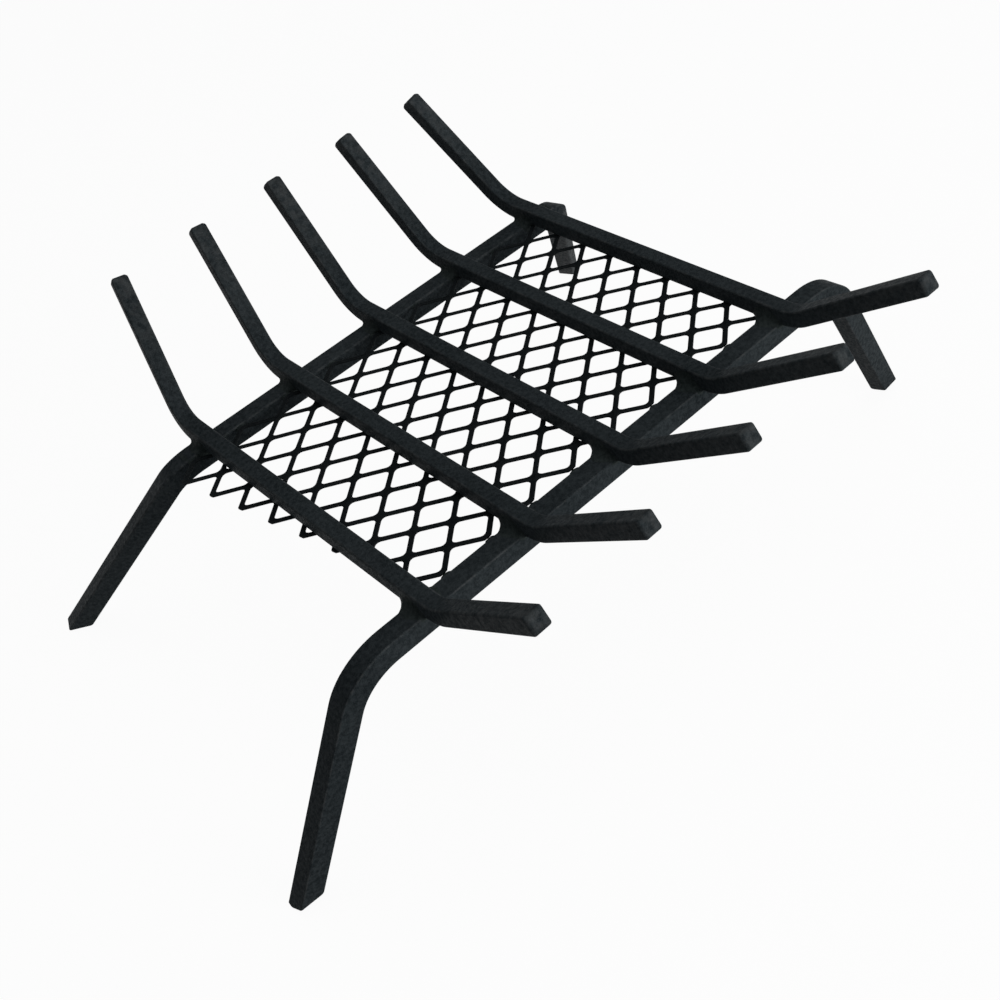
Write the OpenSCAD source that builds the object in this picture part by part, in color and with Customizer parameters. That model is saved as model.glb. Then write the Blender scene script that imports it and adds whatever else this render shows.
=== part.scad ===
// Steel log grate with five bent log bars, two bent cross bars on splayed legs,
// and a sheet of expanded mesh that holds the embers.
// Millimetres. +Z is up, the floor is z = 0, the short front arms point to -Y.
// The origin is on the floor, in the middle of the grate's overall footprint.

/* [Bars] */
// Side of the square log bars
log_bar = 12.7; // [9:0.1:18]
// Side of the square cross bars and their legs
cross_bar = 15.9; // [9:0.1:18]
// Flat ground along every long edge of a bar
edge_flat = 0.9; // [0.4:0.1:1.4]
// Distance between the middles of neighbouring log bars
log_pitch = 82; // [60:1:110]
// Distance between the middles of the two cross bars
cross_gap = 259; // [180:1:340]
// Height of the cross bars' top faces above the floor
deck_height = 178; // [130:1:240]

/* [Rear arms] */
// Angle of the rear arms above level
rear_arm_angle = 55.5; // [30:0.5:70]
// Radius of the rear arms' bend at the bar's middle
rear_arm_bend = 33; // [26:1:70]
// Straight length of a rear arm past its bend
rear_arm_length = 97; // [50:1:130]
// Inward lean that each rear arm gains per bar away from the middle one
rear_arm_lean = 7; // [0:0.5:8]

/* [Front arms] */
// Angle of the front arms above level
front_arm_angle = 33; // [20:1:60]
// Radius of the front arms' bend at the bar's middle
front_arm_bend = 36; // [26:1:70]
// Straight length of a front arm past its bend
front_arm_length = 113.5; // [50:0.5:130]
// Inward lean that each front arm gains per bar away from the middle one
front_arm_lean = 0.5; // [0:0.5:8]

/* [Legs] */
// Straight cross bar past the outer log bar, at the rear
rear_overhang = 6; // [6:0.5:40]
// Straight cross bar past the outer log bar, at the front
front_overhang = 24.5; // [6:0.5:40]
// Radius of the rear legs' bend at the bar's middle
rear_leg_bend = 26; // [20:1:60]
// Radius of the front legs' bend at the bar's middle
front_leg_bend = 45; // [20:1:60]
// Turn from the level cross bar down into a rear leg
rear_leg_angle = 64.5; // [50:0.5:80]
// Turn from the level cross bar down into a front leg
front_leg_angle = 62; // [50:1:80]
// Rake of the rear legs, towards the rear
rear_rake = 38; // [0:0.5:42]
// Rake of the front legs, towards the rear
front_rake = 7; // [0:0.5:15]

/* [Ember mesh] */
// Thickness of the expanded sheet
mesh_thick = 2.4; // [1.2:0.1:4]
// Width of one strand of the sheet
strand_width = 3.4; // [2:0.1:5]
// Long way of one diamond, side to side
cell_long = 40; // [30:0.5:70]
// Short way of one diamond, front to rear
cell_short = 30.5; // [24:0.5:50]
// Reach of the sheet past the middle of each outer log bar
mesh_reach = 16; // [2:0.5:18]
// Sideways offset of the sheet, to the left
mesh_offset = 0; // [0:0.5:8]
// How far the sheet's rear edge is pushed to the left of its middle
mesh_skew = 10; // [0:0.5:14]
// Share by which the sheet is wider at the rear edge than at its middle
mesh_flare = 0.07; // [0:0.01:0.12]
// Gap between the sheet's points and the cross bars
mesh_gap = 0.4; // [0.2:0.1:1]

/* [Welds] */
// Leg of the fillet welds beside each log bar
weld_leg = 5; // [3:0.5:6]
// Leg of the tack welds under the sheet
tack_leg = 4; // [2:0.5:5]
// Length of one tack weld
tack_length = 9; // [6:0.5:14]
// Bulge of a weld's face, as a share of its leg
weld_bulge = 0.16; // [0:0.01:0.2]

/* [Hidden] */
$fn = 64;

black_paint = [0.11, 0.125, 0.135];
black_mesh = [0.07, 0.08, 0.085];
weld_grey = [0.15, 0.165, 0.17];

// Length by which a bar's straight parts run on into its bends, in one solid
seam = 0.2;
// Amount by which a bar is thicker on each side in its bends than in its straight parts
bend_swell = 0.02;
// Length by which a leg is drawn on below the floor, before it is cut level there
floor_overrun = 2 * cross_bar;

// Log bars are numbered from 1 at the left to 5 at the right.
log_count = 5;
middle_log = (log_count + 1) / 2;
log_axis_z = deck_height + log_bar / 2;
cross_axis_z = deck_height - cross_bar / 2;
cross_y = cross_gap / 2;
// Every log bar is straight as far as the outer faces of the cross bars.
flat_end = cross_y + cross_bar / 2;
outer_log_x = (log_count - 1) / 2 * log_pitch;
rear_straight = outer_log_x + log_bar / 2 + rear_overhang;
front_straight = outer_log_x + log_bar / 2 + front_overhang;
// Half the width of the block that cuts the feet level, past any leg's reach
floor_block = 2 * (outer_log_x + cross_gap + deck_height);

function log_x(i) = (i - middle_log) * log_pitch;
function lean_of(i, step) = (i - middle_log) * step;

// ---- Square bar section ----

// Corner points of a square bar whose edges are ground flat
function bar_points(side) =
    let (h = side / 2, f = h - edge_flat)
    [[h, -f], [h, f], [f, h], [-f, h], [-h, f], [-h, -f], [-f, -h], [f, -h]];

function turned(p, a) = [p[0] * cos(a) - p[1] * sin(a), p[0] * sin(a) + p[1] * cos(a)];

module bar_section(side) {
    polygon(bar_points(side));
}

// A bar's bent end. It leaves the origin along +X and turns upwards by the angle, in a
// plane that is tilted about X. The section keeps the straight bar's sides, so it is
// turned back by the tilt.
module bent_end(side, radius, angle, straight, tilt) {
    rotate([tilt, 0, 0]) {
        translate([0, 0, radius])
            rotate([90, 0, 0])
                rotate([0, 0, -90])
                    rotate_extrude(angle = angle)
                        translate([radius, 0])
                            rotate(tilt)
                                bar_section(side + 2 * bend_swell);
        translate([0, 0, radius])
            rotate([0, -angle, 0])
                translate([-seam, 0, -radius])
                    rotate([0, 90, 0])
                        linear_extrude(straight + seam)
                            rotate(90 - tilt)
                                bar_section(side);
    }
}

// ---- Overall footprint, to centre the grate on its origin ----

// Point of a bent end in its own frame: along the bar, sideways and up
function bent_point(radius, angle, straight, tilt, p) =
    let (q = turned(p, -tilt))
    let (along = radius * sin(angle) + straight * cos(angle) - q[1] * sin(angle))
    let (up = radius * (1 - cos(angle)) + straight * sin(angle) + q[1] * cos(angle))
    [along, q[0] * cos(tilt) - up * sin(tilt), q[0] * sin(tilt) + up * cos(tilt)];

// How far a bar's arm reaches past the end of its flat
function arm_reach(radius, angle, straight, step) = max([
    for (i = [1 : log_count]) for (p = bar_points(log_bar))
        bent_point(radius, angle, straight, lean_of(i, step), p)[0]
]);

// Straight run of a leg from its bend to the floor, along the bar's middle
function leg_run(radius, angle, rake) =
    (cross_axis_z / cos(rake) - radius * (1 - cos(angle))) / sin(angle);

// How far a leg's foot lies behind its cross bar, at the floor
function foot_y(radius, angle, rake) = max([
    for (p = bar_points(cross_bar))
        let (run = leg_run(radius, angle, rake))
        let (a = bent_point(radius, angle, run, rake, p))
        let (b = bent_point(radius, angle, run + 1, rake, p))
        let (t = (cross_axis_z - a[2]) / (b[2] - a[2]))
        -(a[1] + t * (b[1] - a[1]))
]);

front_reach = flat_end + arm_reach(front_arm_bend, front_arm_angle, front_arm_length, front_arm_lean);
rear_arm_end = flat_end + arm_reach(rear_arm_bend, rear_arm_angle, rear_arm_length, rear_arm_lean);
rear_foot_end = cross_y + foot_y(rear_leg_bend, rear_leg_angle, rear_rake);
rear_reach = max(rear_arm_end, rear_foot_end);
footprint_shift = (front_reach - rear_reach) / 2;

module centred() {
    translate([0, footprint_shift, 0]) children();
}

// ---- Log bars ----

module log_bar_node(i) {
    color(black_paint)
        centred()
            translate([log_x(i), 0, log_axis_z]) {
                translate([0, flat_end + seam, 0])
                    rotate([90, 0, 0])
                        linear_extrude(2 * (flat_end + seam))
                            bar_section(log_bar);
                translate([0, flat_end, 0])
                    rotate([0, 0, 90])
                        bent_end(log_bar, rear_arm_bend, rear_arm_angle, rear_arm_length,
                                 -lean_of(i, rear_arm_lean));
                translate([0, -flat_end, 0])
                    rotate([0, 0, -90])
                        bent_end(log_bar, front_arm_bend, front_arm_angle, front_arm_length,
                                 lean_of(i, front_arm_lean));
            }
}

// ---- Cross bars, each with its two legs in one piece ----

// One end of a cross bar: the bend and the leg, which runs on below the floor
module leg_end(radius, angle, rake) {
    mirror([0, 0, 1])
        bent_end(cross_bar, radius, angle, leg_run(radius, angle, rake) + floor_overrun, rake);
}

module below_floor() {
    translate([-floor_block, -floor_block, -floor_block])
        cube([2 * floor_block, 2 * floor_block, floor_block]);
}

module cross_bar_node(y, straight, radius, angle, rake) {
    color(black_paint)
        centred()
            difference() {
                translate([0, y, cross_axis_z]) {
                    translate([-straight - seam, 0, 0])
                        rotate([0, 90, 0])
                            linear_extrude(2 * (straight + seam))
                                bar_section(cross_bar);
                    translate([straight, 0, 0])
                        leg_end(radius, angle, -rake);
                    mirror([1, 0, 0])
                        translate([straight, 0, 0])
                            leg_end(radius, angle, -rake);
                }
                below_floor();
            }
}

module front_cross_bar() {
    cross_bar_node(-cross_y, front_straight, front_leg_bend, front_leg_angle, front_rake);
}

module rear_cross_bar() {
    cross_bar_node(cross_y, rear_straight, rear_leg_bend, rear_leg_angle, rear_rake);
}

// ---- Ember mesh ----

// The diamonds' corners lie on a grid of half cells: u counts from the left and v from
// the front. A diamond's middle has u + v even, and a corner has u + v odd.
mesh_width = 2 * (outer_log_x + mesh_reach);
mesh_half_depth = cross_y - cross_bar / 2 - mesh_gap;
mesh_cols = max(2, round(mesh_width / cell_long));
mesh_rows = max(2, round(2 * mesh_half_depth / cell_short));
half_long = mesh_width / mesh_cols / 2;
even_short = mesh_half_depth / mesh_rows;
// Half a strand's width, as a share of the way from a diamond's middle to its side
strand_share = strand_width / 2 * norm([half_long, even_short]) / (half_long * even_short);
half_short = mesh_half_depth / (mesh_rows + strand_share);
hole_scale = 1 - strand_share;
rim_scale = 1 + strand_share;
last_u = 2 * mesh_cols;
last_v = 2 * mesh_rows;

function mesh_point(u, v) =
    let (y = (v - mesh_rows) * half_short)
    let (depth_share = y / mesh_half_depth)
    let (x = (u - mesh_cols) * half_long * (1 + mesh_flare * depth_share))
    [x - mesh_offset - mesh_skew * depth_share, y];

// Point on the way from a diamond's middle c towards its corner k
function towards(c, k, share) =
    mesh_point(c[0], c[1]) + (mesh_point(k[0], k[1]) - mesh_point(c[0], c[1])) * share;

function hole(c) = [
    for (d = [[1, 0], [0, 1], [-1, 0], [0, -1]]) towards(c, c + d, hole_scale)
];

// Points of the sheet's zigzag rim along one side: from a tip, through each notch, to the
// last tip. start is the first tip, along the step between tips, out the way out.
function rim_side(start, along, out, count) = [
    for (k = [0 : 2 * count - 2])
        let (tip = start + along * (k / 2))
        k % 2 == 0
            ? towards(tip - out, tip, rim_scale)
            : towards(tip, tip - out, hole_scale)
];

mesh_rim = concat(
    rim_side([1, 0], [2, 0], [0, -1], mesh_cols),
    rim_side([last_u, 1], [0, 2], [1, 0], mesh_rows),
    rim_side([last_u - 1, last_v], [-2, 0], [0, 1], mesh_cols),
    rim_side([0, last_v - 1], [0, -2], [-1, 0], mesh_rows)
);

mesh_holes = [
    for (v = [1 : last_v - 1]) for (u = [1 : last_u - 1])
        if ((u + v) % 2 == 0) hole([u, v])
];

module ember_mesh() {
    color(black_mesh)
        centred()
            translate([0, 0, deck_height - mesh_thick])
                linear_extrude(mesh_thick)
                    difference() {
                        polygon(mesh_rim);
                        for (h = mesh_holes) polygon(h);
                    }
}

// ---- Welds ----

// Steps along the bulged face of a weld's section
weld_steps = 6;

// Section of a weld in the corner between two square faces, with a bulged face
module weld_section(leg) {
    polygon(concat(
        [[0, 0]],
        [for (k = [0 : weld_steps])
            let (s = k / weld_steps)
            [leg * (1 - s), leg * s] + [1, 1] * leg * weld_bulge * sin(180 * s)]
    ));
}

// The two welds beside one log bar, on one cross bar's top face
module crossing_weld(i, y) {
    run = cross_bar - 2 * edge_flat;
    color(weld_grey)
        centred()
            translate([log_x(i), y, deck_height])
                for (side = [0, 1])
                    mirror([side, 0, 0])
                        translate([log_bar / 2, run / 2, 0])
                            rotate([90, 0, 0])
                                linear_extrude(run)
                                    weld_section(weld_leg);
}

// Tack welds under the sheet's points, against one cross bar's inner face
module mesh_tacks(side) {
    edge_v = side > 0 ? last_v : 0;
    color(weld_grey)
        centred()
            for (u = [1 : 2 : last_u - 1])
                translate([mesh_point(u, edge_v)[0], 0, deck_height - mesh_thick])
                    mirror([0, side > 0 ? 0 : 1, 0])
                        translate([-tack_length / 2, cross_y - cross_bar / 2, 0])
                            rotate([0, 90, 0])
                                linear_extrude(tack_length)
                                    mirror([0, 1, 0])
                                        weld_section(tack_leg);
}

module front_mesh_tacks() {
    mesh_tacks(-1);
}

module rear_mesh_tacks() {
    mesh_tacks(1);
}

for (i = [1 : log_count]) {
    log_bar_node(i);
    crossing_weld(i, -cross_y);
    crossing_weld(i, cross_y);
}
front_cross_bar();
rear_cross_bar();
ember_mesh();
front_mesh_tacks();
rear_mesh_tacks();
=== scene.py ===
# %% [markdown]
# # A welded log grate, from bare steel to black paint
#
# A log grate stands in a fireplace and holds the logs clear of the floor, so that air gets
# under them. This one is made of thick square bars. Five log bars run from front to rear
# and turn up at both ends, so that the logs can't roll off. They lie on two cross bars,
# whose ends turn down into four legs. Under the log bars lies a sheet of expanded metal
# that catches the embers.
#
# The exact steel parts come in as a fixed frame. Every step below replaces one kind of part
# by a finer one in the same place: bars with softly rounded edges, a sheet whose strands are
# twisted as the press leaves them, and welds that melt the bars together. Then come the
# paint, the light and the camera.

# %% Load the steel frame
import math

import bmesh
import bpy
from mathutils import Matrix, Vector, noise


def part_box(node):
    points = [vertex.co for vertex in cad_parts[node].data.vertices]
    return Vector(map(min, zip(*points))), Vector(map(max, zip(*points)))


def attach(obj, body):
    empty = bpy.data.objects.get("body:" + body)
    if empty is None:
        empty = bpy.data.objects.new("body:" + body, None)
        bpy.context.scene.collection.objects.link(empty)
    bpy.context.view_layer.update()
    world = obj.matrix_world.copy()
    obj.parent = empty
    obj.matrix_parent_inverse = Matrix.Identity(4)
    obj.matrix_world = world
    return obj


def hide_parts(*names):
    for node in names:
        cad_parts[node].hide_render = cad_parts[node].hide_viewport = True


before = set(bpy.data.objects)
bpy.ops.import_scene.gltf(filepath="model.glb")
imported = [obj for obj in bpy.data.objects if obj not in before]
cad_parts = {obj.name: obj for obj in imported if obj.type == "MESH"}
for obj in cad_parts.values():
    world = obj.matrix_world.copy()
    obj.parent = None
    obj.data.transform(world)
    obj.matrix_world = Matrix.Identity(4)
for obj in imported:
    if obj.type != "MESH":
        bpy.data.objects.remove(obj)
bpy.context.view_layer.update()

# %% [markdown]
# ## Sizes
#
# Sizes could be read off the frame's boxes or written down. The places of the crossings are
# read from the frame, because every piece has to meet them. Bend radii and angles can't be
# read from a box, so they are written down once, in millimetres, next to their names.

# %% Sizes and places
mm = 0.001
log_side = 12.7 * mm
cross_side = 15.9 * mm
log_numbers = [1, 2, 3, 4, 5]
middle_log = 3

rear_arm = {"radius": 33 * mm, "turn": 55.5, "straight": 97 * mm, "lean": 7.0}
front_arm = {"radius": 36 * mm, "turn": 33.0, "straight": 113.5 * mm, "lean": 0.5}
rear_leg = {"radius": 26 * mm, "turn": 64.5, "rake": 38, "overhang": 6 * mm, "toe rise": 0}
front_leg = {"radius": 45 * mm, "turn": 62, "rake": 7, "overhang": 24.5 * mm, "toe rise": 27}


def middle_of(node):
    """The middle of a steel part's box."""
    low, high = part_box(node)
    return (low + high) / 2


deck_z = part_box("rear_weld_3")[0].z
front_y = middle_of("front_weld_3").y
rear_y = middle_of("rear_weld_3").y
log_x = {i: middle_of(f"front_weld_{i}").x for i in log_numbers}
outermost_x = log_x[log_numbers[-1]]
print("deck", round(deck_z, 4), "cross bars at", round(front_y, 4), round(rear_y, 4))
print("log bars at", [round(x, 4) for x in log_x.values()])

# %% [markdown]
# ## Tools for bars
#
# A square bar is one square face that is carried along a path. A curve with a bevel object
# could sweep it too, but it turns the section at a tilted bend. Here the end face itself is
# extruded for a straight part and spun round the bend's centre for a bend, which is just what
# a bending jig does to the real bar.

# %% Extrude and spin an end face
bend_steps = 14


def section_face(bm, centre, across, upwards, side):
    """The bar's square section, standing at a point."""
    place = Matrix((across, upwards, across.cross(upwards))).transposed().to_4x4()
    place.translation = centre
    made = bmesh.ops.create_grid(
        bm, x_segments=1, y_segments=1, size=side / 2, matrix=place
    )
    return made["verts"][0].link_faces[0]


def newest_face(made):
    """The face that an extrude or a spin has just made at the far end."""
    return [g for g in made if isinstance(g, bmesh.types.BMFace)][-1]


def carry_on(bm, face, step):
    """Carries a bar's end face along a straight part, leaving no wall inside the bar."""
    whole = [face, *face.edges, *face.verts]
    made = bmesh.ops.extrude_face_region(bm, geom=whole)["geom"]
    end = newest_face(made)
    bmesh.ops.translate(bm, vec=step, verts=end.verts)
    return end


def turn_on(bm, face, centre, axis, turn):
    """Carries a bar's end face round a bend."""
    made = bmesh.ops.spin(
        bm,
        geom=[face, *face.edges, *face.verts],
        cent=centre,
        axis=axis,
        angle=math.radians(turn),
        steps=bend_steps,
        use_duplicate=False,
    )["geom_last"]
    return newest_face(made)


def bent_end(bm, face, start, forward, towards, shape):
    """A bend and the straight part after it. The bend starts forward and turns towards."""
    centre = start + towards * shape["radius"]
    face = turn_on(bm, face, centre, forward.cross(towards), shape["turn"])
    angle = math.radians(shape["turn"])
    away = forward * math.cos(angle) + towards * math.sin(angle)
    return carry_on(bm, face, away * shape["straight"])


# %% [markdown]
# Rolled bar never has knife edges: its corners are a millimetre or two round, and the sawn
# ends are eased with a file. A Bevel modifier could do this at render time. The bevel
# operator is used instead, because it tells which faces it made. Their inner points get
# the value 1 in a point attribute, and the paint later reads it to know where edges are.

# %% Round the edges and mark them
edge_round = 1.5 * mm
sharp_turn = math.radians(35)
same_place = 0.001 * mm


def round_off(bm, edges, width, segments):
    """Rounds some edges and gives back the faces of the roundings."""
    return bmesh.ops.bevel(
        bm,
        geom=edges,
        offset=width,
        offset_type="OFFSET",
        segments=segments,
        profile=0.5,
        affect="EDGES",
        clamp_overlap=True,
        material=-1,
    )["faces"]


def make_sound(bm):
    """Joins points that lie on one another and turns every face outwards."""
    bmesh.ops.remove_doubles(bm, verts=bm.verts, dist=same_place)
    bmesh.ops.recalc_face_normals(bm, faces=bm.faces)


def ease_edges(bm, width, segments=4):
    """Rounds every sharp edge and marks the middle of each rounding."""
    make_sound(bm)
    sharp = [e for e in bm.edges if e.is_manifold and e.calc_face_angle() > sharp_turn]
    rounded = set(round_off(bm, sharp, width, segments))
    edge_mark = bm.verts.layers.float.new("edge_mark")
    for vert in bm.verts:
        vert[edge_mark] = float(all(f in rounded for f in vert.link_faces))


def finished(bm, name, slot, *nodes):
    """Turns a bmesh into a piece that stands for its steel parts and rides with the grate."""
    make_sound(bm)
    open_edges = sum(not e.is_manifold for e in bm.edges)
    mesh = bpy.data.meshes.new(name)
    bm.to_mesh(mesh)
    bm.free()
    mesh.shade_smooth()
    piece = bpy.data.objects.new(name, mesh)
    bpy.context.scene.collection.objects.link(piece)
    weighted = piece.modifiers.new("weighted_normals", "WEIGHTED_NORMAL")
    weighted.mode = "FACE_AREA"
    weighted.weight = 50
    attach(piece, "root")
    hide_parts(*nodes)
    print(f"{name}: {len(mesh.polygons)} faces, {open_edges} open edges")
    return piece


# %% [markdown]
# ## Log bars
#
# Each log bar is flat between the outer faces of the two cross bars. Behind them it turns
# steeply up into an arm, and in front it rises more gently. The rear arms lean in towards the
# middle, more so the further out the bar lies, so each bend lies in a plane that is tilted
# about the bar. The bend's centre tilts with that plane, and the bar starts each bend with
# its section square to the floor.

# %% Build the five log bars
UP = Vector((0, 0, 1))
RIGHT = Vector((1, 0, 0))
REARWARDS = Vector((0, 1, 0))
tip_round = 2.6 * mm
tip_wear = 0.7 * log_side
end_segments = 6


def leaning(degrees):
    """Straight up, tilted about the log bar's own line."""
    return Matrix.Rotation(math.radians(-degrees), 3, "Y") @ UP


def round_ends(bm, ends, width):
    """Grinds the rims of sawn ends round, so that nobody is cut by them."""
    rims = list({edge for end in ends for edge in end.edges})
    round_off(bm, rims, width, end_segments)


def mark_tips(bm, tip_middles):
    """Marks the tips as worn, because every log that is put on the fire knocks on them."""
    edge_mark = bm.verts.layers.float["edge_mark"]
    for vert in bm.verts:
        if any((vert.co - middle).length < tip_wear for middle in tip_middles):
            vert[edge_mark] = 1.0


def face_at(bm, place):
    """The face that stands at a place."""
    return [f for f in bm.faces if (f.calc_center_median() - place).length < mm][0]


def log_bar(number):
    """One log bar, from the tip of its rear arm to the tip of its front arm."""
    x = log_x[number]
    away = number - middle_log
    rear_end = Vector((x, rear_y + cross_side / 2, deck_z + log_side / 2))
    front_end = Vector((x, front_y - cross_side / 2, deck_z + log_side / 2))
    bm = bmesh.new()
    rear_face = section_face(bm, rear_end, RIGHT, UP, log_side)
    front_face = carry_on(bm, rear_face, front_end - rear_end)
    rear_face = face_at(bm, rear_end)
    rear_lean, front_lean = leaning(rear_arm["lean"] * away), leaning(front_arm["lean"] * away)
    tips = [
        bent_end(bm, rear_face, rear_end, REARWARDS, rear_lean, rear_arm),
        bent_end(bm, front_face, front_end, -REARWARDS, front_lean, front_arm),
    ]
    tip_middles = [tip.calc_center_median() for tip in tips]
    round_ends(bm, tips, tip_round)
    ease_edges(bm, edge_round)
    mark_tips(bm, tip_middles)
    return finished(bm, f"painted_log_bar_{number}", "bar_paint", f"log_bar_{number}")


log_bars = [log_bar(number) for number in log_numbers]

# %% [markdown]
# ## Cross bars and legs
#
# A cross bar is one bar, a size thicker than the log bars, with both ends turned down into
# legs. The legs splay outwards and rake back, the rear ones far more, which keeps the grate
# from tipping when a log drops on its arms. The bar is drawn on past the floor first. A plane
# cuts it off level, as a saw would, and the open end is filled. In the photo the toes of the
# front feet look ground off, so a second cut lifts them, and all rims are ground round.

# %% Build the two cross bars
below_floor = 40 * mm
on_floor = 0.01 * mm
heel_depth = 5.5 * mm
foot_round = 2.2 * mm


def saw_off(bm, point, heading):
    """Cuts both legs off with one plane, closes their ends and gives these back."""
    cut = bmesh.ops.bisect_plane(
        bm,
        geom=[*bm.verts, *bm.edges, *bm.faces],
        plane_co=point,
        plane_no=heading,
        clear_outer=True,
    )["geom_cut"]
    rims = [g for g in cut if isinstance(g, bmesh.types.BMEdge)]
    return bmesh.ops.holes_fill(bm, edges=rims, sides=0)["faces"]


def cut_feet(bm, toe_rise):
    """Saws the legs level with the floor and grinds up their toes, in front of a flat heel."""
    feet = saw_off(bm, (0, 0, 0), -UP)
    if toe_rise:
        heel = max(vert.co.y for foot in feet for vert in foot.verts) - heel_depth
        tilt = Matrix.Rotation(-math.radians(toe_rise), 3, "X")
        toes = saw_off(bm, (0, heel, 0), tilt @ -UP)
        beside = {face for toe in toes for edge in toe.edges for face in edge.link_faces}
        feet = toes + [f for f in beside if abs(f.calc_center_median().z) < on_floor]
    round_ends(bm, feet, foot_round)


def leg_shape(shape):
    """The leg's bend, with a straight part long enough to pass the floor."""
    turn, rake = math.radians(shape["turn"]), math.radians(shape["rake"])
    axis_z = deck_z - cross_side / 2
    drop = axis_z / math.cos(rake) - shape["radius"] * (1 - math.cos(turn))
    return {**shape, "straight": drop / math.sin(turn) + below_floor}


def cross_bar(end, y, shape):
    """One cross bar with its two legs."""
    half = outermost_x + log_side / 2 + shape["overhang"]
    left = Vector((-half, y, deck_z - cross_side / 2))
    right = Vector((half, y, deck_z - cross_side / 2))
    down = Matrix.Rotation(math.radians(shape["rake"]), 3, "X") @ -UP
    bm = bmesh.new()
    left_face = section_face(bm, left, REARWARDS, UP, cross_side)
    right_face = carry_on(bm, left_face, right - left)
    left_face = face_at(bm, left)
    bent_end(bm, left_face, left, -RIGHT, down, leg_shape(shape))
    bent_end(bm, right_face, right, RIGHT, down, leg_shape(shape))
    cut_feet(bm, shape["toe rise"])
    ease_edges(bm, edge_round)
    return finished(bm, f"painted_{end}_cross_bar", "bar_paint", f"{end}_cross_bar")


cross_bars = [cross_bar("front", front_y, front_leg), cross_bar("rear", rear_y, rear_leg)]

# %% [markdown]
# ## Ember mesh
#
# Expanded metal is a plate that is slit in short cuts and pulled open, so every slit becomes a
# diamond. A grid of lines could be extruded one by one, but the slits suggest a shorter way.
# A plain grid is poked, which gives every box a cross, and dissolving the box's own sides
# leaves diamonds. Each diamond is then inset by half a strand. Its middle is the hole, and
# what is left over is the sheet.

# %% Sizes of the sheet
strand = 3.8 * mm
plate = 1.5 * mm
sheet_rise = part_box("ember_mesh")[1].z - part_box("ember_mesh")[0].z
sheet_skew = 10 * mm
sheet_flare = 0.07
sheet_reach = 16 * mm
sheet_gap = 0.4 * mm
columns = 9
rows = 8
middle_y = (front_y + rear_y) / 2
half_depth = (rear_y - front_y) / 2 - cross_side / 2 - sheet_gap
half_long = (outermost_x + sheet_reach) / columns
even_short = half_depth / rows
strand_share = strand / 2 * math.hypot(half_long, even_short) / (half_long * even_short)
half_short = half_depth / (rows + strand_share)
print("half cell", round(half_long / mm, 2), "by", round(half_short / mm, 2), "mm")

# %% [markdown]
# The sheet in the photo isn't quite square to the bars. It is a little wider at the rear and
# leans to the left, so a point of the grid is placed by two small corrections. The same
# rule is needed backwards later, to tell where on its diamond a point lies.


# %% From the grid to the sheet and back
def on_sheet(u, v):
    """A grid point, counted in half cells from the front left corner, in its real place."""
    y = (v - rows) * half_short
    share = y / half_depth
    x = (u - columns) * half_long * (1 + sheet_flare * share)
    return Vector((x - sheet_skew * share, middle_y + y, 0))


def off_sheet(point):
    """The grid point of a place on the sheet."""
    y = point.y - middle_y
    share = y / half_depth
    x = (point.x + sheet_skew * share) / (1 + sheet_flare * share)
    return x / half_long + columns, y / half_short + rows


# %% [markdown]
# Now the plate is slit and opened. A real press cuts and stretches row by row. Here the whole
# grid is made at once. A strand lies half in one diamond and half in the next, so one more
# row of diamonds goes all round, to give the strands on the rim their outer halves. The rest
# of that row is thrown away.


# %% Cut the plate into diamonds
def diamond_plate():
    """The flat plate as diamonds, with one more row of them all round."""
    bm = bmesh.new()
    bmesh.ops.create_grid(bm, x_segments=columns + 1, y_segments=rows + 2, size=1)
    bmesh.ops.translate(bm, vec=(1, 1, 0), verts=bm.verts)
    bmesh.ops.scale(bm, vec=(columns + 1, rows + 2, 1), verts=bm.verts)
    bmesh.ops.translate(bm, vec=(-1, -2, 0), verts=bm.verts)
    box_sides = list(bm.edges)
    bmesh.ops.poke(bm, faces=bm.faces)
    loose = [f for f in bm.faces if any(e.is_boundary for e in f.edges)]
    bmesh.ops.delete(bm, geom=loose, context="FACES")
    box_sides = [e for e in box_sides if e.is_valid]
    bmesh.ops.dissolve_edges(bm, edges=box_sides, use_verts=False)
    outside = [f for f in bm.faces if not -0.5 < f.calc_center_median().y < 2 * rows + 0.5]
    bmesh.ops.delete(bm, geom=outside, context="FACES")
    for vert in bm.verts:
        vert.co = on_sheet(vert.co.x, vert.co.y)
    return bm


def open_diamonds(bm):
    """Insets every diamond, drops its middle, and drops what lies outside the rim."""
    holes = list(bm.faces)
    bmesh.ops.inset_individual(bm, faces=holes, thickness=strand / 2, use_even_offset=True)
    outside = [f for f in bm.faces if any(e.is_boundary for e in f.edges)]
    bmesh.ops.delete(bm, geom=holes + outside, context="FACES")
    print("sheet opened:", len(holes), "diamonds,", len(bm.faces), "strand sides")


sheet = diamond_plate()
open_diamonds(sheet)

# %% [markdown]
# The plate gets its thickness, and the corners of each hole are rounded, which widens the
# bonds where four strands meet. The press also leaves the strands tilted: their front edge
# stands higher than their rear edge. That could be done strand by strand with a rotation.
# Moving each point up or down by its place in its diamond does all of them at once, and
# the tilt fades out at the bonds by itself.

# %% Thicken, round and twist the strands
hole_round = 3.2 * mm
hole_segments = 3
strand_round = 0.3 * mm
strand_segments = 2
twist_reach = 0.3
nearly_upright = 0.9


def upright_edges(bm):
    """The edges that stand in the hollow corners of the holes. The rim's points stay sharp."""
    return [
        e
        for e in bm.edges
        if abs((e.verts[0].co - e.verts[1].co).normalized().z) > nearly_upright
        and e.calc_face_angle_signed() < -sharp_turn
    ]


def twist(bm, rise):
    """Tilts the strands by moving the points in front of a strand up and those behind down."""
    for vert in bm.verts:
        u, v = off_sheet(vert.co)
        diamond = round((u + v) / 2) - round((u - v) / 2)
        place = max(-1, min(1, (v - diamond) / twist_reach))
        vert.co.z += rise * place


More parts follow.
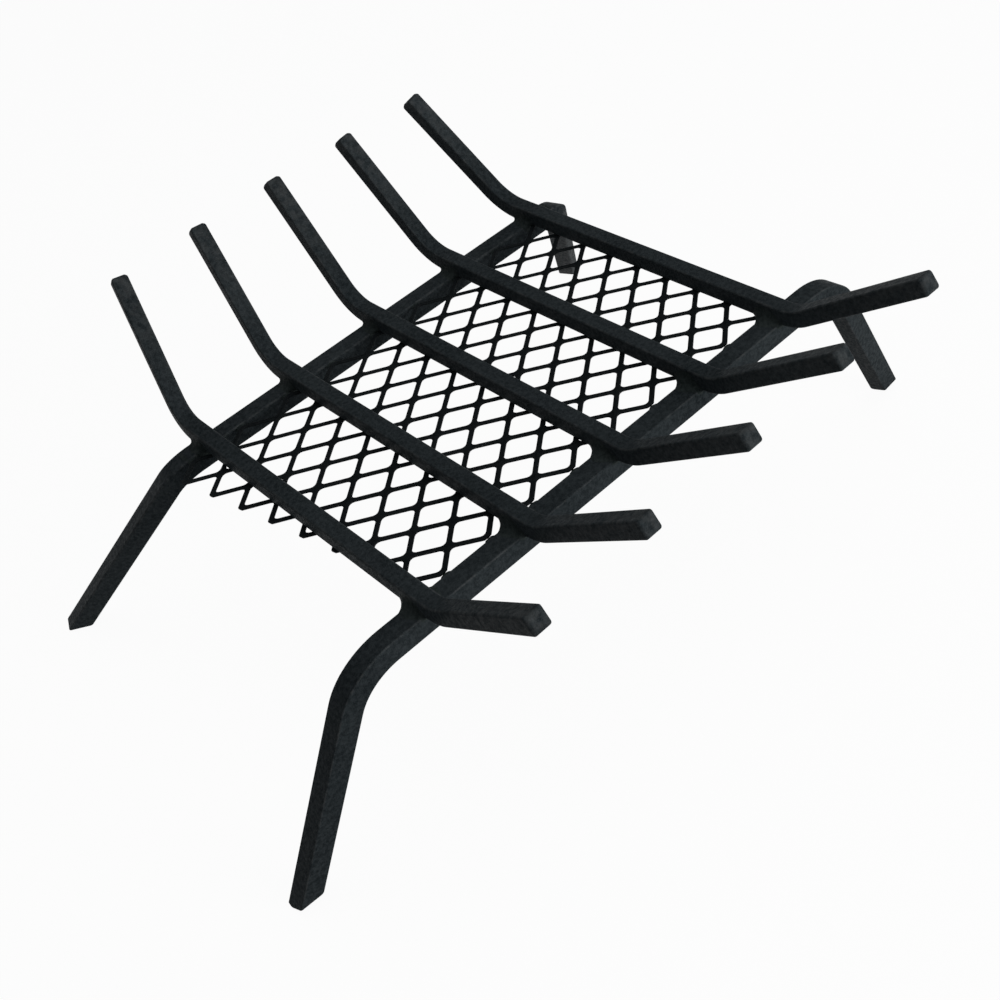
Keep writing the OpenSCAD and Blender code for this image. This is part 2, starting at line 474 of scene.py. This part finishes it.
bmesh.ops.solidify(sheet, geom=list(sheet.faces), thickness=plate)
bmesh.ops.recalc_face_normals(sheet, faces=sheet.faces)
round_off(sheet, upright_edges(sheet), hole_round, hole_segments)
ease_edges(sheet, strand_round, strand_segments)
twist(sheet, (sheet_rise - plate) / 2)
lowest = min(v.co.z for v in sheet.verts)
bmesh.ops.translate(sheet, vec=(0, 0, deck_z - sheet_rise - lowest), verts=sheet.verts)
ember_sheet = finished(sheet, "expanded_ember_mesh", "mesh_paint", "ember_mesh")

# %% [markdown]
# ## Welds
#
# Where two bars cross, the welder ran the puddle right round the corners. Under the paint the
# crossing looks like one soft lump of steel, with wide hollow fillets on the mesh side and
# small ones under the arms. Beads laid along the seams would leave steps between them.
#
# So the weld is found as a surface. A place has two distances, one to each bar. Where both
# are small, they are blended into one, and the blended distance is zero on a smooth fillet.
# Away from the corners the surface is sunk a little into the bars, where the steel has melted
# together, and so only the fillets are left to see.

# %% Distances from the bars and from the weld
weld_reach = 22 * mm
weld_sunk_near = 0.06 * mm
weld_sunk_far = 0.6 * mm


def soft_step(value, low, high):
    """Rises smoothly from 0 at low to 1 at high."""
    share = min(1, max(0, (value - low) / (high - low)))
    return share * share * (3 - 2 * share)


def bar_distance(across, upwards, side):
    """How far a place in a bar's section is outside its rounded square. Inside is below 0."""
    wide = abs(across) - side / 2 + edge_round
    high = abs(upwards) - side / 2 + edge_round
    outside = math.hypot(max(wide, 0), max(high, 0))
    return outside + min(max(wide, high), 0) - edge_round


def bend_rise(past, radius):
    """How far a bar has left its straight line a little past the start of its bend."""
    return radius - math.sqrt(radius**2 - max(0, past) ** 2)


def weld_distance(place, arm, fillets):
    """How far a place is outside the crossing, counted from its middle, with y to the arm."""
    rise = bend_rise(place.y - cross_side / 2, arm["radius"])
    log = bar_distance(place.x, place.z - rise - log_side / 2, log_side)
    cross = bar_distance(place.y, place.z + cross_side / 2, cross_side)
    left, right, under_arm = fillets
    inner = left + (right - left) * soft_step(place.x, -log_side, log_side)
    blend = inner + (under_arm - inner) * soft_step(place.y, -cross_side / 4, cross_side / 2)
    overlap = max(0, 1 - abs(log - cross) / blend)
    sunk = weld_sunk_near + weld_sunk_far * soft_step(place.length, weld_reach / 2, weld_reach)
    return min(log, cross) - overlap**2 * blend / 4 + sunk


# %% [markdown]
# A fine ball is put on each crossing. Each of its points moves straight out from the middle
# until it reaches the surface, which is found by halving the way again and again. A remesh
# of joined bars would look alike, but it would also round off the bars themselves. At last a
# faint noise moves each point in or out, which gives the ripples of a hand-made weld.

# %% Melt the bars together
ball_fineness = 6
search_steps = 15
ripple_height = 0.11 * mm
ripple_width = 2.6 * mm


def melted_crossing(number, end, y, outwards, arm, fillets):
    """The weld round one crossing."""
    bm = bmesh.new()
    bmesh.ops.create_icosphere(bm, subdivisions=ball_fineness, radius=1)
    middle = Vector((log_x[number], y, deck_z))
    for vert in bm.verts:
        heading = vert.co.normalized()
        inside, outside = 0, weld_reach
        for _ in range(search_steps):
            tried = heading * (inside + outside) / 2
            if weld_distance(tried, arm, fillets) < 0:
                inside = tried.length
            else:
                outside = tried.length
        ripple = noise.noise(heading * inside / ripple_width + Vector((number, outwards, 0)))
        reached = heading * (inside + ripple * ripple_height)
        vert.co = middle + Vector((reached.x, reached.y * outwards, reached.z))
    bm.verts.layers.float.new("edge_mark")
    name = f"{end}_weld_beads_{number}"
    return finished(bm, name, "weld_paint", f"{end}_weld_{number}")


# The width of the blend on the left, on the right and under the arm. The fillet that is seen
# ends a little sooner, where the skin sinks into the bars.
front_fillets = (13 * mm, 10.5 * mm, 5 * mm)
rear_fillets = (9.5 * mm, 6 * mm, 5 * mm)
weld_beads = []
for i in log_numbers:
    weld_beads += [
        melted_crossing(i, "front", front_y, -1, front_arm, front_fillets),
        melted_crossing(i, "rear", rear_y, 1, rear_arm, rear_fillets),
    ]

# %% [markdown]
# The sheet is only tacked: one short lump of weld holds each of its points to a cross bar. A
# lump is an icosphere, drawn out along the bar and then pushed in and out by a noise, so
# that no two are alike.

# %% Tack the sheet to the cross bars
lump_size = Vector((4.6, 2.4, 1.7)) * mm
lump_drop = 1.1 * mm
lump_fineness = 3
lump_swell = 0.16
lump_swells_across = 1.6


def tack_lumps(end, edge_v, y):
    """One lump of weld for each point of the sheet along a cross bar."""
    bm = bmesh.new()
    for u in range(1, 2 * columns, 2):
        place = Vector((on_sheet(u, edge_v).x, y, deck_z - sheet_rise / 2 - lump_drop))
        made = bmesh.ops.create_icosphere(bm, subdivisions=lump_fineness, radius=1)
        for vert in made["verts"]:
            spot = vert.co * lump_swells_across + Vector((u, edge_v, 0))
            swell = 1 + lump_swell * noise.noise(spot)
            vert.co = place + Vector(a * b for a, b in zip(vert.co * swell, lump_size))
    bm.verts.layers.float.new("edge_mark")
    return finished(bm, f"{end}_tack_lumps", "weld_paint", f"{end}_mesh_tacks")


tack_welds = [
    tack_lumps("front", 0, front_y + cross_side / 2),
    tack_lumps("rear", 2 * rows, rear_y - cross_side / 2),
]

# %% [markdown]
# ## Paint
#
# The grate wears one coat of black stove paint. It isn't one flat black: the coat is a little
# blotchy, it has a fine sandy grain from the spray, and it is thinner on the edges, where
# the steel shows through as a slightly lighter grey. Grain and edge rub are needed in three
# paints, so each is a node group, built once and placed in every paint with its own values.

# %% Small helpers for shader nodes


def add(tree, kind, **values):
    """Adds a node and sets its properties and its inputs' plain values."""
    node = tree.nodes.new(kind)
    for key, value in values.items():
        if key in node.inputs:
            node.inputs[key].default_value = value
        else:
            setattr(node, key, value)
    return node


def new_group(name, inputs, outputs):
    """An empty shader group with named inputs and outputs."""
    group = bpy.data.node_groups.new(name, "ShaderNodeTree")
    for socket, kind, value in inputs:
        made = group.interface.new_socket(socket, in_out="INPUT", socket_type=kind)
        if value is not None:
            made.default_value = value
    for socket, kind in outputs:
        group.interface.new_socket(socket, in_out="OUTPUT", socket_type=kind)
    return group, group.nodes.new("NodeGroupInput"), group.nodes.new("NodeGroupOutput")


def remap(tree, source, low, high, to_low=0.0, to_high=1.0):
    """Stretches the part of a value between low and high to a new range."""
    node = add(tree, "ShaderNodeMapRange")
    node.interpolation_type = "SMOOTHSTEP"
    for index, value in zip((1, 2, 3, 4), (low, high, to_low, to_high)):
        node.inputs[index].default_value = value
    tree.links.new(source, node.inputs[0])
    return node.outputs[0]


def combine(tree, operation, first, second):
    """One math node; either side may be a socket or a number."""
    node = add(tree, "ShaderNodeMath", operation=operation)
    for index, side in enumerate((first, second)):
        if isinstance(side, (int, float)):
            node.inputs[index].default_value = side
        else:
            tree.links.new(side, node.inputs[index])
    return node.outputs[0]


# %% [markdown]
# The grain group mixes three sizes of noise: clouds as wide as a hand, blotches of a few
# millimetres as in the photo, and the sandy grain below a millimetre. Tone goes to the
# colour, height to the bump, and both come from the same noises, so that they belong
# together.

# %% Grain of a sprayed coat
hand_width = 90 * mm
tone_of_blotch, tone_of_grain, tone_of_cloud = 0.45, 0.3, 0.25
height_of_blotch = 0.5


def spray_grain_group():
    """Tone, height and gloss of a sprayed coat, from the place on the piece."""
    group, start, end = new_group(
        "spray_grain",
        [
            ("Place", "NodeSocketVector", None),
            ("Blotch size", "NodeSocketFloat", 0.003),
            ("Grain size", "NodeSocketFloat", 0.0007),
        ],
        [
            ("Tone", "NodeSocketFloat"),
            ("Height", "NodeSocketFloat"),
            ("Gloss", "NodeSocketFloat"),
        ],
    )

    def clouds(size, detail):
        node = add(group, "ShaderNodeTexNoise", Detail=detail, Roughness=0.55)
        group.links.new(start.outputs["Place"], node.inputs["Vector"])
        if isinstance(size, float):
            node.inputs["Scale"].default_value = 1 / size
        else:
            group.links.new(combine(group, "DIVIDE", 1.0, size), node.inputs["Scale"])
        return node.outputs["Fac"]

    wide = remap(group, clouds(hand_width, 2.0), 0.3, 0.7)
    blotch = remap(group, clouds(start.outputs["Blotch size"], 3.0), 0.3, 0.7)
    grain = remap(group, clouds(start.outputs["Grain size"], 2.0), 0.25, 0.75)
    fine = combine(group, "MULTIPLY", grain, tone_of_grain)
    tone = combine(group, "ADD", combine(group, "MULTIPLY", blotch, tone_of_blotch), fine)
    tone = combine(group, "ADD", tone, combine(group, "MULTIPLY", wide, tone_of_cloud))
    height = combine(group, "MULTIPLY", blotch, height_of_blotch)
    height = combine(group, "ADD", height, grain)
    group.links.new(tone, end.inputs["Tone"])
    group.links.new(height, end.inputs["Height"])
    group.links.new(combine(group, "SUBTRACT", 1.0, blotch), end.inputs["Gloss"])
    return group


spray_grain = spray_grain_group()
print("group", spray_grain.name, [s.name for s in spray_grain.interface.items_tree])

# %% [markdown]
# Paint wears through on the edges first. A pointiness node could find them, but it depends on
# how the mesh is cut up. The edge mark that the bevel left is exact. A noise breaks it
# up, because wear is never an even line.

# %% Wear along the edges
rub_spots_per_metre = 160.0


def edge_rub_group():
    """A mask of worn paint along the marked edges."""
    group, start, end = new_group(
        "edge_rub",
        [
            ("Place", "NodeSocketVector", None),
            ("Mark", "NodeSocketFloat", 0.0),
            ("Amount", "NodeSocketFloat", 0.5),
        ],
        [("Worn", "NodeSocketFloat")],
    )
    spots = {"Scale": rub_spots_per_metre, "Detail": 4.0, "Roughness": 0.65}
    node = add(group, "ShaderNodeTexNoise", **spots)
    group.links.new(start.outputs["Place"], node.inputs["Vector"])
    broken = remap(group, node.outputs["Fac"], 0.35, 0.68)
    worn = combine(group, "MULTIPLY", start.outputs["Mark"], broken)
    worn = combine(group, "MULTIPLY", worn, start.outputs["Amount"])
    group.links.new(worn, end.inputs["Worn"])
    return group


edge_rub = edge_rub_group()
print("group", edge_rub.name)

# %% [markdown]
# A paint takes its two tones and the tone of its worn edges, how much of the edge is worn,
# how wide its blotches and grains are, and how rough it is. The plain numbers are set on the
# shader itself. The shine is almost none. Real paint has more, but then the white floor's
# reflection made the upright faces about twice as light as they are in the photo.

# %% Mix the paints
paint_shine = 0.006
gloss_spread = (-0.07, 0.08)
grain_depth = 0.2 * mm
grain_strength = 0.5


def colours(sockets):
    """The colour sockets among some sockets."""
    return [socket for socket in sockets if socket.type == "RGBA"]


def stove_paint(name, dark, light, worn, amount, blotch, grain, rough):
    """Black stove paint with its grain and its worn edges."""
    material = bpy.data.materials.new(name)
    material.use_nodes = True
    tree = material.node_tree
    shader = tree.nodes["Principled BSDF"]
    shader.inputs["Specular IOR Level"].default_value = paint_shine
    shader.inputs["Metallic"].default_value = 0.0
    place = add(tree, "ShaderNodeTexCoord").outputs["Object"]
    mark = add(tree, "ShaderNodeAttribute", attribute_name="edge_mark").outputs["Fac"]

    coat = add(tree, "ShaderNodeGroup", node_tree=spray_grain)
    coat.inputs["Blotch size"].default_value = blotch
    coat.inputs["Grain size"].default_value = grain
    tree.links.new(place, coat.inputs["Place"])
    rub = add(tree, "ShaderNodeGroup", node_tree=edge_rub)
    rub.inputs["Amount"].default_value = amount
    tree.links.new(place, rub.inputs["Place"])
    tree.links.new(mark, rub.inputs["Mark"])

    tones = add(tree, "ShaderNodeMix", data_type="RGBA")
    for socket, tone in zip(colours(tones.inputs), (dark, light)):
        socket.default_value = (*tone, 1)
    tree.links.new(coat.outputs["Tone"], tones.inputs["Factor"])
    edges = add(tree, "ShaderNodeMix", data_type="RGBA")
    under, over = colours(edges.inputs)
    over.default_value = (*worn, 1)
    tree.links.new(colours(tones.outputs)[0], under)
    tree.links.new(rub.outputs["Worn"], edges.inputs["Factor"])
    tree.links.new(colours(edges.outputs)[0], shader.inputs["Base Color"])

    glossiest, dullest = (rough + spread for spread in gloss_spread)
    gloss = remap(tree, coat.outputs["Gloss"], 0.0, 1.0, glossiest, dullest)
    tree.links.new(gloss, shader.inputs["Roughness"])
    relief = add(tree, "ShaderNodeBump", Strength=grain_strength, Distance=grain_depth)
    tree.links.new(coat.outputs["Height"], relief.inputs["Height"])
    tree.links.new(relief.outputs["Normal"], shader.inputs["Normal"])
    print("paint", name)
    return material


bar_paint = stove_paint(
    "bar_paint",
    dark=(0.0045, 0.0064, 0.0074),
    light=(0.0245, 0.0295, 0.032),
    worn=(0.07, 0.072, 0.072),
    amount=0.3,
    blotch=2.8 * mm,
    grain=0.7 * mm,
    rough=0.47,
)
# The ember sheet wears the same stove paint as the bars, but its tones are made darker than
# theirs. This darkening is painted shade on the sheet.
mesh_paint = stove_paint(
    "mesh_paint",
    dark=(0.003, 0.004, 0.0045),
    light=(0.008, 0.0095, 0.0105),
    worn=(0.03, 0.031, 0.03),
    amount=0.4,
    blotch=2 * mm,
    grain=0.5 * mm,
    rough=0.5,
)
weld_paint = stove_paint(
    "weld_paint",
    dark=(0.0045, 0.0066, 0.0068),
    light=(0.024, 0.0295, 0.029),
    worn=(0.07, 0.072, 0.072),
    amount=0.0,
    blotch=2.6 * mm,
    grain=0.6 * mm,
    rough=0.45,
)
for piece in log_bars + cross_bars:
    piece.data.materials.append(bar_paint)
ember_sheet.data.materials.append(mesh_paint)
for piece in weld_beads + tack_welds:
    piece.data.materials.append(weld_paint)

# %% [markdown]
# ## Floor, light and camera
#
# The photo is a cut-out on pure white. A bright floor lit by strong lamps would wash out the
# paint. Instead the floor shows the camera its own white, mixed with a little of its
# real shading, so that a soft shadow is left under the feet.

# %% Lay the floor
floor_half_width = 12
floor_grey = (0.65, 0.65, 0.65, 1)
floor_white_share = 0.95
pure_white = (1, 1, 1, 1)


def seen_or_mirrored(tree):
    """1 where the camera sees the background, straight on, in a mirror or through glass."""
    ray = add(tree, "ShaderNodeLightPath")
    seen = combine(tree, "MAXIMUM", ray.outputs["Is Camera Ray"], ray.outputs["Is Glossy Ray"])
    return combine(tree, "MAXIMUM", seen, ray.outputs["Is Transmission Ray"])


def white_to_camera(name, share):
    """A pale material that shows the camera mostly pure white."""
    material = bpy.data.materials.new(name)
    material.use_nodes = True
    tree = material.node_tree
    tree.nodes.clear()
    output = add(tree, "ShaderNodeOutputMaterial")
    matte = add(tree, "ShaderNodeBsdfDiffuse", Color=floor_grey)
    white = add(tree, "ShaderNodeEmission", Color=pure_white, Strength=1.0)
    mix = add(tree, "ShaderNodeMixShader")
    seen = seen_or_mirrored(tree)
    tree.links.new(combine(tree, "MULTIPLY", seen, share), mix.inputs["Fac"])
    tree.links.new(matte.outputs[0], mix.inputs[1])
    tree.links.new(white.outputs[0], mix.inputs[2])
    tree.links.new(mix.outputs[0], output.inputs["Surface"])
    return material


bm = bmesh.new()
bmesh.ops.create_grid(bm, x_segments=1, y_segments=1, size=floor_half_width)
floor_mesh = bpy.data.meshes.new("studio_floor")
bm.to_mesh(floor_mesh)
bm.free()
studio_floor = bpy.data.objects.new("studio_floor", floor_mesh)
bpy.context.scene.collection.objects.link(studio_floor)
studio_floor.data.materials.append(white_to_camera("floor_white", floor_white_share))
print("floor", 2 * floor_half_width, "metres wide")

# %% [markdown]
# The upper faces of the bars and their left sides are dark in the photo, and the faces that
# look to the front are lighter. So the room stays dim, one wide lamp stands low in front of
# the grate, a little to the right, and a weaker one hangs overhead for the shadow.

# %% Set the lights
room_colour = (0.95, 0.98, 1.0, 1)
room_light = 0.22
world = bpy.data.worlds.new("studio")
bpy.context.scene.world = world
world.use_nodes = True
sky = world.node_tree
sky.nodes.clear()
sky_out = add(sky, "ShaderNodeOutputWorld")
sky_mix = add(sky, "ShaderNodeMixShader")
dim = add(sky, "ShaderNodeBackground", Color=room_colour, Strength=room_light)
bright = add(sky, "ShaderNodeBackground", Color=pure_white, Strength=1.0)
sky.links.new(seen_or_mirrored(sky), sky_mix.inputs["Fac"])
sky.links.new(dim.outputs[0], sky_mix.inputs[1])
sky.links.new(bright.outputs[0], sky_mix.inputs[2])
sky.links.new(sky_mix.outputs[0], sky_out.inputs["Surface"])


def soft_lamp(name, place, aim, width, watts):
    """A square area lamp that looks at a point."""
    data = bpy.data.lights.new(name, "AREA")
    data.shape = "SQUARE"
    data.size = width
    data.energy = watts
    lamp = bpy.data.objects.new(name, data)
    lamp.location = place
    lamp.rotation_mode = "QUATERNION"
    lamp.rotation_quaternion = (Vector(aim) - Vector(place)).to_track_quat("-Z", "Y")
    bpy.context.scene.collection.objects.link(lamp)
    print(name, watts, "watts")


grate_middle = (0, 0, 0.15)
soft_lamp("front_lamp", place=(0.7, -2.5, 0.55), aim=grate_middle, width=1.5, watts=75)
soft_lamp("overhead_lamp", place=(0.4, -0.2, 2.6), aim=grate_middle, width=2.0, watts=33)

# %% [markdown]
# The photo looks down on the grate from the front left, and it is turned a little against the
# horizon. The camera's place, aim and turn come from lining up the model's outline with the
# photo's. The frame is 1000 by 1000 pixels, and the lens is given for a 36 mm sensor.

# %% Place the camera
camera_place = Vector((-0.3742, -0.62235, 0.7192))
camera_turn = (46.2502, 12.5456, -42.0424)
camera_data = bpy.data.cameras.new("photo_camera")
camera_data.sensor_fit = "HORIZONTAL"
camera_data.sensor_width = 36
camera_data.lens = 45.21
camera = bpy.data.objects.new("photo_camera", camera_data)
camera.location = camera_place
camera.rotation_mode = "XYZ"
camera.rotation_euler = [math.radians(a) for a in camera_turn]
bpy.context.scene.collection.objects.link(camera)
bpy.context.scene.camera = camera
bpy.context.scene.view_settings.view_transform = "Standard"
print("camera", [round(x, 3) for x in camera_place], "lens", camera_data.lens)
